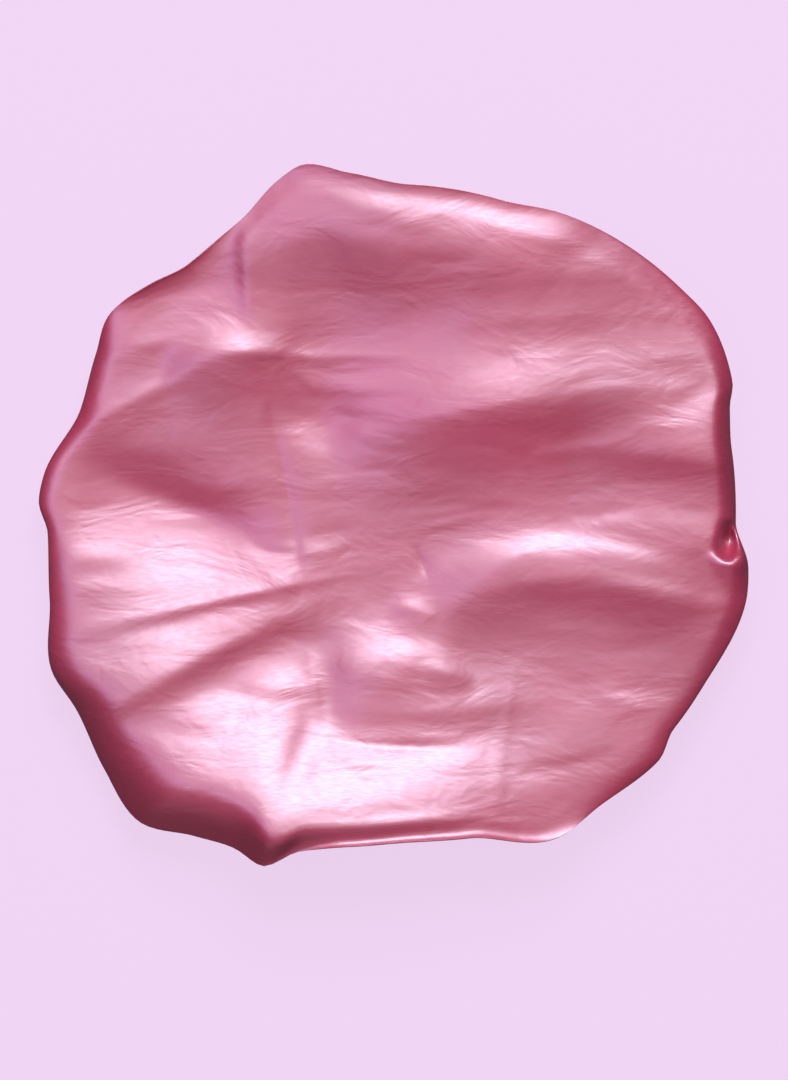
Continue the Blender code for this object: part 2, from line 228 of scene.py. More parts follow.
# The crown's folds, long heaps of cloth, or dents where lift is less than nothing. Each fades
# out at both ends of its line, whose places are shares of the half width and half depth. bow
# moves the line's middle to its left, and left and right are the breadths of its two flanks,
# shares of the half width. lift is a share of the rim's height. crisp is 0 on a soft fold and
# near 1 on a sharp one.
Fold = namedtuple("Fold", "name from_x from_y to_x to_y bow left right lift crisp")
FOLDS = (
    Fold("top rim", -0.57, 0.86, 0.86, 0.66, 0.053, 0.159, 0.141, 0.092, 0.0),
    Fold("upper middle ridge", -0.19, 0.22, 0.89, 0.38, 0.024, 0.247, 0.188, 0.300, 0.5),
    Fold("right plateau", 0.51, 0.19, 1.15, 0.12, 0.012, 0.235, 0.071, 0.124, 0.5),
    Fold("right diagonal", 0.47, 0.03, 1.12, -0.21, 0.018, 0.141, 0.071, 0.044, 0.4),
    Fold("right rim", 0.90, 0.62, 0.93, -0.30, 0.012, 0.059, 0.176, 0.040, 0.0),
    Fold("middle arc", 0.07, -0.29, 1.06, -0.37, 0.147, 0.129, 0.118, 0.144, 0.4),
    Fold("arc streak", 0.02, -0.22, 1.01, -0.29, 0.147, 0.047, 0.059, 0.032, 0.1),
    Fold("arc foot", 0.02, -0.36, 0.47, -0.04, 0.012, 0.082, 0.106, 0.050, 0.3),
    Fold("left dent", -0.99, 0.18, -0.26, -0.12, 0.000, 0.094, 0.200, -0.172, 0.4),
    Fold("upper left heap", -0.66, 0.43, -0.24, 0.48, 0.006, 0.100, 0.129, 0.140, 0.5),
    Fold("upper left crease", -0.50, 0.46, 0.10, 0.45, 0.000, 0.024, 0.018, 0.022, 0.7),
    Fold("upper left pressed", -0.43, 0.93, -0.40, 0.50, 0.000, 0.071, 0.024, 0.040, 0.6),
    Fold("left streak", -0.50, 0.45, -0.94, 0.22, 0.000, 0.041, 0.029, 0.032, 0.6),
    Fold("thin left ridge", -1.00, -0.37, -0.07, -0.16, 0.012, 0.094, 0.018, 0.036, 0.5),
    Fold("lower left ridge", -1.03, -0.69, -0.09, -0.19, 0.024, 0.200, 0.053, 0.090, 0.3),
    Fold("bottom rim", -1.17, -0.93, 0.55, -0.97, -0.012, 0.270, 0.176, 0.350, 0.0),
    Fold("lower middle upright", -0.26, -0.21, -0.18, -0.79, 0.000, 0.024, 0.053, 0.018, 0.6),
    Fold("lower middle hollow", -0.22, -0.30, -0.14, -0.76, 0.000, 0.059, 0.082, -0.024, 0.0),
    Fold("lower middle ridge", -0.26, -0.56, 0.50, -0.50, -0.024, 0.106, 0.053, 0.050, 0.3),
    Fold("lower middle heap", -0.26, -0.48, 0.22, -0.41, 0.000, 0.112, 0.088, 0.108, 0.1),
    Fold("lower crease", -0.21, -0.63, 0.24, -0.65, -0.018, 0.018, 0.029, -0.028, 0.7),
    Fold("pressed upright", -0.39, 0.53, -0.24, -0.33, 0.012, 0.018, 0.029, -0.022, 0.8),
    Fold("pale upright", 0.35, -0.36, 0.27, -0.90, 0.000, 0.012, 0.012, 0.010, 0.5),
    Fold("triangle facet edge", -0.31, 0.45, -0.20, 0.34, 0.000, 0.035, 0.018, 0.014, 0.5),
    Fold("upper left hollow", -0.37, 0.32, -0.09, 0.22, 0.000, 0.071, 0.071, -0.036, 0.2),
    Fold("nick", 0.06, -0.08, 0.10, -0.19, 0.000, 0.018, 0.018, -0.016, 0.7),
    Fold("small crease one", -0.02, -0.25, 0.13, -0.29, 0.000, 0.035, 0.047, 0.026, 0.4),
    Fold("small crease two", 0.07, -0.43, 0.24, -0.47, 0.000, 0.035, 0.047, 0.030, 0.4),
    Fold("small crease three", 0.53, -0.51, 0.75, -0.55, 0.000, 0.029, 0.035, 0.014, 0.5),
    Fold("left crease one", -1.03, -0.13, -0.69, -0.12, 0.000, 0.047, 0.041, 0.024, 0.4),
    Fold("left crease two", -1.03, -0.23, -0.69, -0.19, 0.000, 0.041, 0.035, 0.020, 0.4),
    Fold("upper left streak", -0.56, 0.52, -0.81, 0.46, 0.000, 0.029, 0.035, 0.018, 0.5),
    Fold("right crease one", 0.65, 0.25, 0.96, 0.26, 0.000, 0.029, 0.029, 0.016, 0.4),
    Fold("right crease two", 0.68, 0.20, 0.96, 0.21, 0.000, 0.029, 0.029, 0.012, 0.4),
    Fold("right crease three", 0.55, -0.20, 0.86, -0.25, 0.000, 0.041, 0.041, 0.028, 0.4),
    Fold("lower left facet", -0.45, -0.48, -0.17, -0.50, 0.000, 0.071, 0.106, 0.040, 0.4),
    Fold("upper right crease", 0.10, 0.53, 0.70, 0.57, 0.012, 0.041, 0.029, 0.014, 0.4),
    Fold("upper middle crease", -0.26, 0.37, 0.07, 0.35, 0.000, 0.029, 0.029, 0.014, 0.4),
)

# The pinch at the right edge, where a tuck swallows the edge above a lobe of cloth. These folds
# keep their height over the wall until just inside the edge.
EDGE_FOLDS = (
    Fold("pinch pocket", 0.955, -0.010, 0.935, -0.140, 0.000, 0.018, 0.024, -0.260, 0.0),
    Fold("lip under the pocket", 0.870, -0.110, 1.030, -0.085, -0.028, 0.016, 0.060, 0.075, 0.2),
    Fold("lip beside the pocket", 0.984, 0.000, 0.988, -0.160, 0.000, 0.018, 0.010, 0.095, 0.2),
)

# Small creases scattered over the crown, in the folds' shares. Length, breadth and lift are drawn
# between their lowest and highest. The slant from level, the bow and the middle's distance each
# way are drawn up to what is given.
WRINKLE_SEED = 5
WRINKLE_COUNT = 150
WRINKLE_LENGTH = (0.18, 0.50)
WRINKLE_BREADTH = (0.012, 0.045)
WRINKLE_LIFT = (-0.010, 0.010)
WRINKLE_SLANT_DEG = 14
WRINKLE_BOW = 0.03
WRINKLE_DISTANCE = 0.95
WRINKLE_CRISP = 0.3

# The tucks that the gathers throw out to the rolled edge, coarse and fine: how many there are
# round the edge, how deep they are at most, the least share of that, how far their spacing
# strays from even, and the power of the turn that they deepen with under the edge.
TUCK_SEED = 11
TUCK_COUNTS = (38, 90)
TUCK_DEPTHS = (0.0110, 0.0050)
TUCK_LEAST = 0.15
TUCK_STRAY = 0.35
TUCK_DEEPENING = 0.7

# The crown's middle follows the outline with its corners rounded this far. The true corners come
# in from this share of the way out to the rim's crest, over this further share.
CORNER_ROUNDING_DEG = 14
CORNERS_FROM = 0.5
CORNERS_OVER = 0.45

# The power of the way out that the crown rises with, from its sunken middle to the rim's crest,
# and the power that makes the wall outside the crest fall away round and full.
MIDDLE_RISE = 3.2
WALL_FULLNESS = 3

# The power that a fold fades out with at both ends.
FOLD_FADE = 1.5

# What is left of the folds at the edge, and the share of the wall's breadth over which they come
# back further in. The pinch's folds come back from nothing.
FOLDS_AT_EDGE = 0.4
FOLDS_COME_BACK = 0.625
PINCH_COMES_BACK = 0.25

# How finely the cloth is divided: over the middle, down the wall outside the rim, under the
# edge and along the surface, then round the crown, and round and across the casing.
MIDDLE_RINGS = 88
WALL_RINGS = 12
EDGE_RINGS = 10
UNDER_RINGS = 24
STEPS_PER_GATHER = 8
STEPS_PER_RUCHE = 6
CASING_SIDES = 16

# The edge is never lower than this.
LOWEST_EDGE = 0.006

# Where the pinch is round the outline, and how much closer the steps stand there.
PINCH_DEG = 354.5
PINCH_CROWDING = 2.5
PINCH_SPREAD_DEG = 7

# How far out from the casing the gathers run, the power that moves their tops towards it, and
# the power of the nearness to the casing that the cloth climbs to the seam with.
GATHER_REACH = 0.055
GATHER_SKEW = 1.5
SEAM_CLIMB = 4

# Where the two rows of stitches run, shares of the casing's width, and how far the thread's
# middle lies inside the cloth, a share of the thread's thickness.
STITCH_ROWS = (0.16, 0.84)
THREAD_SINK = 0.35

# How much brighter the lit table glows than its colour, so that shadows on it stay faint, and
# how far it reaches each way.
FLOOR_GLOW = 12.0
FLOOR_HALF_WIDTH = 20.0

# The picture's width and height in pixels, what a pixel covers on the surface, and where the
# middles of the picture and of the bonnet's outline are in it.
PICTURE_SIZE = (788, 1080)
METRES_PER_PIXEL = 0.00048
PICTURE_MIDDLE = (394, 540)
BONNET_MIDDLE = (393.5, 515.5)


def linear(hex_colour):
    """Turn an sRGB hex colour to linear light."""
    channels = [int(hex_colour[i : i + 2], 16) / 255 for i in (1, 3, 5)]
    return tuple(c / 12.92 if c <= 0.04045 else ((c + 0.055) / 1.055) ** 2.4 for c in channels)


def length_property(name, description, default):
    """A property for a length in metres."""
    return bpy.props.FloatProperty(
        name=name,
        description=description,
        default=default,
        min=0,
        precision=4,
        subtype="DISTANCE",
        unit="LENGTH",
    )


def colour_property(name, description, default):
    """A property for a colour."""
    return bpy.props.FloatVectorProperty(
        name=name, description=description, default=linear(default), min=0, max=1, subtype="COLOR"
    )


def count_property(name, description, default):
    """A property for a number of things."""
    return bpy.props.IntProperty(name=name, description=description, default=default, min=8)


def angle_property(name, description, degrees):
    """A property for an angle."""
    return bpy.props.FloatProperty(
        name=name, description=description, default=math.radians(degrees), subtype="ANGLE"
    )


def power_property(name, description, default):
    """A property for a power in watts."""
    return bpy.props.FloatProperty(
        name=name, description=description, default=default, min=0, unit="POWER"
    )


class CrownSettings(bpy.types.PropertyGroup):
    """Sizes and colours of the crown."""

    width: length_property("Width", "Width of the crown as it lies", CROWN_BOX[1].x - CROWN_BOX[0].x)
    depth: length_property("Depth", "Depth of the crown as it lies", CROWN_BOX[1].y - CROWN_BOX[0].y)
    rim_height: length_property("Rim height", "Height that the tables' shares are of", 0.050)
    middle_height: length_property("Middle height", "Height of the sunken middle", 0.026)
    roll_under: length_property("Roll under", "How far the edge rolls in under itself", 0.020)
    cloth_wall: length_property("Cloth", "Thickness of the cloth as drawn", 0.0006)
    cut_width: length_property("Cut width", "Width of the round that the crown is cut from", 0.58)
    gathers: count_property("Gathers", "Number of gathers at the casing", 44)
    gather_depth: length_property("Gather depth", "How far a gather stands up", 0.0050)
    satin: colour_property("Satin", "Colour of the satin's face", "#a02443")
    satin_back: colour_property("Satin back", "Colour of the satin's dull back", "#a84058")


class CasingSettings(bpy.types.PropertyGroup):
    """Sizes and colours of the casing."""

    mouth_radius: length_property("Mouth radius", "Radius of the slack mouth", 0.056)
    width: length_property("Width", "Width of the casing", CASING_BOX[1].x - 0.056)
    thickness: length_property("Thickness", "Thickness of the casing", CASING_BOX[1].z)
    ruches: count_property("Ruches", "Number of ruches round the casing", 88)
    ruche_depth: length_property("Ruche depth", "Depth of the furrow between ruches", 0.0011)
    stitches: count_property("Stitches", "Number of stitches in each row round the casing", 150)
    stitch_length: length_property("Stitch length", "Length of a stitch", 0.0021)
    stitch_width: length_property("Stitch width", "Thickness of the thread", 0.0004)
    satin: colour_property("Satin", "Colour of the casing's satin", "#b8425c")
    thread: colour_property("Thread", "Colour of the sewing thread", "#c25f78")


class StudioSettings(bpy.types.PropertyGroup):
    """Camera, floor, world, and four soft square lights that face the bonnet."""

    camera_height: length_property("Camera height", "Height of the camera", 2.6)
    framed_height: length_property("Framed height", "Height that the framing holds at", 0.018)
    light_distance: length_property("Light distance", "How far off every light is", 4.0)
    key_azimuth: angle_property("Key azimuth", "Direction that the main light comes from", 84)
    key_elevation: angle_property("Key elevation", "Angle of the main light above the surface", 48)
    key_size: length_property("Key size", "Breadth of the main light", 2.2)
    key_power: power_property("Key power", "Power of the main light", 215)
    key_colour: colour_property("Key colour", "Colour of the main light", "#f4e4fc")
    side_azimuth: angle_property("Side azimuth", "Direction that the side light comes from", 180)
    side_elevation: angle_property("Side elevation", "Angle of the side light above the surface", 62)
    side_size: length_property("Side size", "Breadth of the side light", 1.5)
    side_power: power_property("Side power", "Power of the side light", 30)
    side_colour: colour_property("Side colour", "Colour of the side light", "#dcc0ff")
    low_azimuth: angle_property("Low azimuth", "Direction that the low light comes from", 262)
    low_elevation: angle_property("Low elevation", "Angle of the low light above the surface", 22)
    low_size: length_property("Low size", "Breadth of the low light", 5.0)
    low_power: power_property("Low power", "Power of the low light", 40)
    low_colour: colour_property("Low colour", "Colour of the low light", "#ff9cb8")
    top_azimuth: angle_property("Top azimuth", "Direction that the top light leans to", 84)
    top_elevation: angle_property("Top elevation", "Angle of the top light above the surface", 88)
    top_size: length_property("Top size", "Breadth of the top light", 4.0)
    top_power: power_property("Top power", "Power of the top light", 38)
    top_colour: colour_property("Top colour", "Colour of the top light", "#ffe6ec")
    floor: colour_property("Floor", "Colour of the surface", "#49404a")
    world: colour_property("World", "Colour of the light from all round", "#f0e2ff")
    world_strength: bpy.props.FloatProperty(
        name="World strength", description="Strength of the light from all round", default=0.10, min=0
    )


def smooth_step(share):
    """Rise smoothly from 0 to 1 as the share does."""
    share = np.clip(share, 0, 1)
    return share * share * (3 - 2 * share)


def read_round(name, at_deg):
    """Read a column of the outline at any angle, on a smooth closed curve with no overshoot."""
    angles = np.array([edge.angle_deg for edge in OUTLINE])
    angles = np.append(angles, angles[0] + 360)
    values = np.array([getattr(edge, name) for edge in OUTLINE])
    values = np.append(values, values[0])
    steps = np.diff(angles)
    slopes = np.diff(values) / steps
    before = np.append(slopes[-1], slopes)
    after = np.append(slopes, slopes[0])
    same_way = before * after > 0
    total = np.where(same_way, before + after, 1.0)
    tangents = np.where(same_way, 2 * before * after / total, 0.0)
    at = angles[0] + np.mod(at_deg - angles[0], 360)
    i = np.clip(np.searchsorted(angles, at, side="right") - 1, 0, len(steps) - 1)
    t = (at - angles[i]) / steps[i]
    return (
        values[i] * (1 + 2 * t) * (1 - t) ** 2
        + values[i + 1] * t**2 * (3 - 2 * t)
        + steps[i] * (tangents[i] * t * (1 - t) ** 2 - tangents[i + 1] * t**2 * (1 - t))
    )


def read_reach_without_corners(at_deg):
    """Read the outline's reach with its corners rounded away."""
    around = np.linspace(-3 * CORNER_ROUNDING_DEG, 3 * CORNER_ROUNDING_DEG, 25)
    weights = np.exp(-((around / CORNER_ROUNDING_DEG) ** 2))
    reach = read_round("reach", at_deg[:, None] + around)
    return (reach * weights).sum(1) / weights.sum()


def fold_height(plan, folds, sizes):
    """How far the folds lift each place of the plan."""
    half_size = np.array([sizes.width, sizes.depth]) / 2
    half_width = half_size[0]
    height = np.zeros(plan.shape[:-1])
    for fold in folds:
        start = np.array([fold.from_x, fold.from_y]) * half_size
        end = np.array([fold.to_x, fold.to_y]) * half_size
        half_line = (end - start) / 2
        half_length = np.hypot(*half_line)
        offset = plan - (start + end) / 2
        along = offset @ half_line / half_length**2
        across = (offset[..., 1] * half_line[0] - offset[..., 0] * half_line[1]) / half_length
        across -= fold.bow * half_width * (1 - along**2)
        breadth = np.where(across > 0, fold.left, fold.right) * half_width
        profile = np.exp(-(np.abs(across / breadth) ** (2 - fold.crisp)))
        height += fold.lift * sizes.rim_height * profile * np.clip(1 - along**2, 0, 1) ** FOLD_FADE
    return height


def wrinkles():
    """Small creases that lie at random, longer than broad and nearly level."""
    draw = np.random.default_rng(WRINKLE_SEED)
    rows = []
    for _ in range(WRINKLE_COUNT):
        heading = math.radians(draw.uniform(-WRINKLE_SLANT_DEG, WRINKLE_SLANT_DEG))
        middle = draw.uniform(-WRINKLE_DISTANCE, WRINKLE_DISTANCE, 2)
        half_line = np.array([math.cos(heading), math.sin(heading)]) * draw.uniform(*WRINKLE_LENGTH) / 2
        bow = draw.uniform(-WRINKLE_BOW, WRINKLE_BOW)
        breadths = draw.uniform(*WRINKLE_BREADTH, 2)
        lift = draw.uniform(*WRINKLE_LIFT)
        ends = (*(middle - half_line), *(middle + half_line))
        rows.append(Fold("wrinkle", *ends, bow, *breadths, lift, WRINKLE_CRISP))
    return tuple(rows)


def tuck_depth(directions):
    """How far the tucks draw the cloth in at each direction, in narrow valleys between puffs."""
    draw = np.random.default_rng(TUCK_SEED)
    depth = np.zeros(len(directions))
    for count, deepest in zip(TUCK_COUNTS, TUCK_DEPTHS):
        spacing = 360 / count
        places = (np.arange(count) + draw.uniform(-TUCK_STRAY, TUCK_STRAY, count)) * spacing
        depths = deepest * draw.uniform(TUCK_LEAST, 1, count)
        away = np.abs((np.asarray(directions)[:, None] - places + 180) % 360 - 180)
        depth += (depths * np.clip(1 - away / spacing, 0, 1) ** 2).sum(1)
    return depth


def step_directions(step_count):
    """The steps' directions round the crown, in degrees, closer together at the pinch."""
    fine = np.linspace(0, 360, 3601)
    away = (fine - PINCH_DEG + 180) % 360 - 180
    density = 1 + PINCH_CROWDING * np.exp(-((away / PINCH_SPREAD_DEG) ** 2))
    passed = np.append(0, np.cumsum(density[:-1]))
    return np.interp(np.arange(step_count) / step_count, passed / passed[-1], fine)


def edge_plan(directions, sizes):
    """The crown's edge seen from above, as wide and deep as the sizes say."""
    angles = np.radians(directions)
    reach = read_round("reach", directions)
    plan = np.column_stack([reach * np.cos(angles), reach * np.sin(angles)])
    low = plan.min(0)
    high = plan.max(0)
    return (plan - (low + high) / 2) / (high - low) * (sizes.width, sizes.depth)


def middle_rings(edge, directions, sizes):
    """The rings over the sunken middle, up to the rim's crest."""
    crest_share = 1 - read_round("wall", directions) / read_round("reach", directions)
    crest_height = read_round("crest", directions) * sizes.rim_height
    corners = read_round("reach", directions) / read_reach_without_corners(directions)
    folds = FOLDS + EDGE_FOLDS + wrinkles()
    rings = []
    for share in np.linspace(0, 1, MIDDLE_RINGS + 1):
        plan = edge * (crest_share * share)[:, None]
        nearness = smooth_step((share - CORNERS_FROM) / CORNERS_OVER)
        way_out = share * (nearness + (1 - nearness) * corners * crest_share)
        rise = np.clip(way_out, 0, 1) ** MIDDLE_RISE
        height = sizes.middle_height + (crest_height - sizes.middle_height) * (1 - (1 - rise) ** 2)
        lift = fold_height(plan, folds, sizes)
        rings.append(np.column_stack([plan, height + lift]))
    return rings


def wall_rings(edge, directions, sizes):
    """The rings from the rim's crest down to the edge, where the folds have faded out."""
    wall_share = read_round("wall", directions) / read_round("reach", directions)
    crest_height = read_round("crest", directions) * sizes.rim_height
    edge_height = read_round("edge", directions) * sizes.rim_height
    turn = read_round("turn", directions)
    folds = FOLDS + wrinkles()
    rings = []
    for angle in np.linspace(math.pi / 2, 0, WALL_RINGS + 1)[1:]:
        inward = 1 - math.cos(angle)
        plan = edge * (1 - wall_share * inward)[:, None]
        climb = (1 - (1 - inward) ** WALL_FULLNESS) ** turn
        height = edge_height + (crest_height - edge_height) * climb
        folds_left = FOLDS_AT_EDGE + (1 - FOLDS_AT_EDGE) * smooth_step(inward / FOLDS_COME_BACK)
        lift = folds_left * fold_height(plan, folds, sizes)
        lift += min(1, inward / PINCH_COMES_BACK) * fold_height(plan, EDGE_FOLDS, sizes)
        rings.append(np.column_stack([plan, np.maximum(height + lift, LOWEST_EDGE)]))
    return rings


def roll_rings(edge, edge_height, directions, sizes):
    """The rings under the edge, a quarter turn in and down to the surface, drawn in by tucks."""
    reach = np.hypot(edge[:, 0], edge[:, 1])
    tucks = tuck_depth(directions)
    rings = []
    for turn in np.linspace(0, math.pi / 2, EDGE_RINGS + 1)[1:]:
        inward = sizes.roll_under * (1 - math.cos(turn)) + tucks * math.sin(turn) ** TUCK_DEEPENING
        plan = edge * (1 - inward / reach)[:, None]
        rings.append(np.column_stack([plan, edge_height * (1 - math.sin(turn))]))
    return rings


def under_rings(outer, directions, sizes, casing):
    """The rings along the surface to the casing, in gathers that are sewn flat at the seam."""
    seam_radius = casing.mouth_radius + casing.width
    seam_height = (casing.thickness - sizes.cloth_wall) / 2
    angles = np.radians(directions)
    seam = seam_radius * np.column_stack([np.cos(angles), np.sin(angles)])
    wave = (1 + np.cos(sizes.gathers * angles)) / 2
    rings = []
    for share in np.linspace(0, 1, UNDER_RINGS + 1)[1:]:
        plan = outer * (1 - share) + seam * share
        left = np.hypot(plan[:, 0], plan[:, 1]) - seam_radius
        nearness = np.clip(1 - left / GATHER_REACH, 0, 1)
        gathers = sizes.gather_depth * np.sin(math.pi * nearness**GATHER_SKEW) * wave
        rings.append(np.column_stack([plan, gathers + seam_height * nearness**SEAM_CLIMB]))
    return rings


def ring_faces(ring_count, step_count, first):
    """The faces between rings of equally many steps, where first is the first ring's index."""
    steps = np.arange(step_count)
    following = np.roll(steps, -1)
    faces = []
    for ring in range(ring_count - 1):
        inner = first + ring * step_count
        outer = inner + step_count
        faces.append(np.column_stack([inner + steps, outer + steps, outer + following, inner + following]))
    return np.concatenate(faces)


def new_object(name, data):
    """Make an object of a mesh, a light or a camera in the scene."""
    obj = bpy.data.objects.new(name, data)
    bpy.context.scene.collection.objects.link(obj)
    return obj


def add_node(tree, kind, sockets=None, **settings):
    """Add a node with its settings, and its sockets' values or links."""
    node = tree.nodes.new(kind)
    for name, value in settings.items():
        setattr(node, name, value)
    for name, value in (sockets or {}).items():
        if isinstance(value, bpy.types.NodeSocket):
            tree.links.new(value, node.inputs[name])
        else:
            node.inputs[name].default_value = value
    return node


def new_material(name):
    """Make a material with an empty node tree."""
    material = bpy.data.materials.new(name)
    material.use_nodes = True
    material.node_tree.nodes.clear()
    return material


def cloth_metres(tree, cut_width):
    """Where a place of the cloth lies on the flat round, in metres."""
    place = add_node(tree, "ShaderNodeUVMap", uv_map="cut")
    sockets = {"Vector": place.outputs["UV"], "Scale": cut_width}
    return add_node(tree, "ShaderNodeVectorMath", sockets, operation="SCALE").outputs["Vector"]


def long_noise(tree, metres, scales, sockets, **settings):
    """A noise in shapes longer than broad, so many to the metre along and across the cloth."""
    place = add_node(tree, "ShaderNodeMapping", {"Vector": metres, "Scale": (*scales, 1)})
    sockets = {"Vector": place.outputs["Vector"], "Scale": 1, **sockets}
    return add_node(tree, "ShaderNodeTexNoise", sockets, **settings)


def spread(tree, noise, low, high):
    """Spread the middle of a noise's range from low to high."""
    ends = {"From Min": 0.3, "From Max": 0.7, "To Min": low, "To Max": high}
    sockets = {"Value": noise.outputs["Fac"], **ends}
    return add_node(tree, "ShaderNodeMapRange", sockets).outputs["Result"]


def dyed_colour(tree, metres, colour, patch_shades, line_shade):
    """The cloth's colour, which the dye takes a little unevenly, in patches of about 60 mm."""
    patches = add_node(tree, "ShaderNodeTexNoise", {"Vector": metres, "Scale": 16, "Detail": 3})
    patch_shade = spread(tree, patches, *patch_shades)
    shade = add_node(tree, "ShaderNodeMath", {0: patch_shade, 1: line_shade}, operation="MULTIPLY")
    sockets = {"Vector": colour, "Scale": shade.outputs["Value"]}
    return add_node(tree, "ShaderNodeVectorMath", sockets, operation="SCALE").outputs["Vector"]


def bumped(tree, bumps):
    """Lay bumps over each other, each a height and its distance in metres, and give the normal."""
    sockets = {"Strength": 1.0}
    for height, distance in bumps:
        bump = add_node(tree, "ShaderNodeBump", {**sockets, "Height": height, "Distance": distance})
        sockets["Normal"] = bump.outputs["Normal"]
    return sockets["Normal"]


def finish_material(tree, sockets):
    """Give the tree one Principled shader with these sockets, and the output."""
    shader = add_node(tree, "ShaderNodeBsdfPrincipled", sockets)
    add_node(tree, "ShaderNodeOutputMaterial", {"Surface": shader.outputs["BSDF"]})


def satin_material(name, colour, cut_width):
    """Woven polyester satin: long smooth floats give a soft broad gloss, and creases show in it."""
    material = new_material(name)
    tree = material.node_tree
    metres = cloth_metres(tree, cut_width)
    # Soft creases about 42 mm long and 19 mm broad, from lying folded.
    soft = long_noise(tree, metres, (24, 52), {"Detail": 3, "Distortion": 0.8})
    # Fine crinkles about 20 mm long and 8 mm broad, with crisp crests.
    fine = long_noise(
        tree,
        metres,
        (50, 125),
        {"Detail": 4, "Roughness": 0.55, "Lacunarity": 2.2, "Offset": 0.8, "Gain": 1.6, "Distortion": 0.9},
        noise_type="RIDGED_MULTIFRACTAL",
        normalize=True,
    )
    # The floats are 0.1 mm wide, too fine to show, so they are drawn 0.8 mm wide and 5 mm long.
    floats = long_noise(tree, metres, (200, 1250), {"Detail": 2, "Roughness": 0.6})
    # Thin pressed creases between flat facets of about 45 mm, from lying folded in a packet.
    bent = add_node(
        tree,
        "ShaderNodeVectorMath",
        {0: soft.outputs["Color"], 1: (0.03, 0.03, 0.0), 2: metres},
        operation="MULTIPLY_ADD",
    )
    facets = add_node(
        tree,
        "ShaderNodeTexVoronoi",
        {"Vector": bent.outputs["Vector"], "Scale": 22},
        feature="DISTANCE_TO_EDGE",
        voronoi_dimensions="2D",
    )
    pressed = add_node(
        tree,
        "ShaderNodeMapRange",
        {"Value": facets.outputs["Distance"], "From Min": 0.0, "From Max": 0.08},
        interpolation_type="SMOOTHERSTEP",
    )
    bumps = (
        (pressed.outputs["Result"], 0.00003),
        (soft.outputs["Fac"], 0.0007),
        (fine.outputs["Fac"], 0.00002),
        (floats.outputs["Fac"], 0.000006),
    )
    thread_shade = spread(tree, floats, 0.93, 1.06)
    sockets = {
        "Base Color": dyed_colour(tree, metres, colour, (0.90, 1.08), thread_shade),
        "Roughness": spread(tree, floats, 0.40, 0.48),
        "Specular IOR Level": 1.0,
        "IOR": 1.9,
        "Normal": bumped(tree, bumps),
    }
    finish_material(tree, sockets)
    return material


def satin_back_material(colour, cut_width):
    """The dull back of the satin, where short twill floats slant over the cloth, without gloss."""
    material = new_material("dull back of woven satin")
    tree = material.node_tree
    metres = cloth_metres(tree, cut_width)
    # The twill lines are 0.2 mm apart, too fine to show, so they are drawn 1.4 mm apart.
    twill = add_node(
        tree,
        "ShaderNodeTexWave",
        {"Vector": metres, "Scale": 314, "Distortion": 2.0, "Detail": 2},
        bands_direction="DIAGONAL",
    ).outputs["Fac"]
    line_shade = add_node(tree, "ShaderNodeMapRange", {"Value": twill, "To Min": 0.94, "To Max": 1.04})
    sockets = {
        "Base Color": dyed_colour(tree, metres, colour, (0.88, 1.06), line_shade.outputs["Result"]),
        "Roughness": 0.7,
        "Sheen Weight": 0.15,
        "Sheen Roughness": 0.4,
        "Normal": bumped(tree, [(twill, 0.00006)]),
    }
    finish_material(tree, sockets)
    return material


def thread_material(colour):
    """Spun polyester sewing thread: two plies 0.4 mm apart twist round each other, without gloss."""
    material = new_material("spun polyester thread")
    tree = material.node_tree
    place = add_node(tree, "ShaderNodeTexCoord").outputs["Object"]
    plies = add_node(
        tree,
        "ShaderNodeTexWave",
        {"Vector": place, "Scale": 1000, "Distortion": 1.5, "Detail": 1},
        bands_direction="DIAGONAL",
    ).outputs["Fac"]
    normal = bumped(tree, [(plies, 0.00008)])
    finish_material(tree, {"Base Color": (*colour, 1), "Roughness": 0.6, "Normal": normal})
    return material


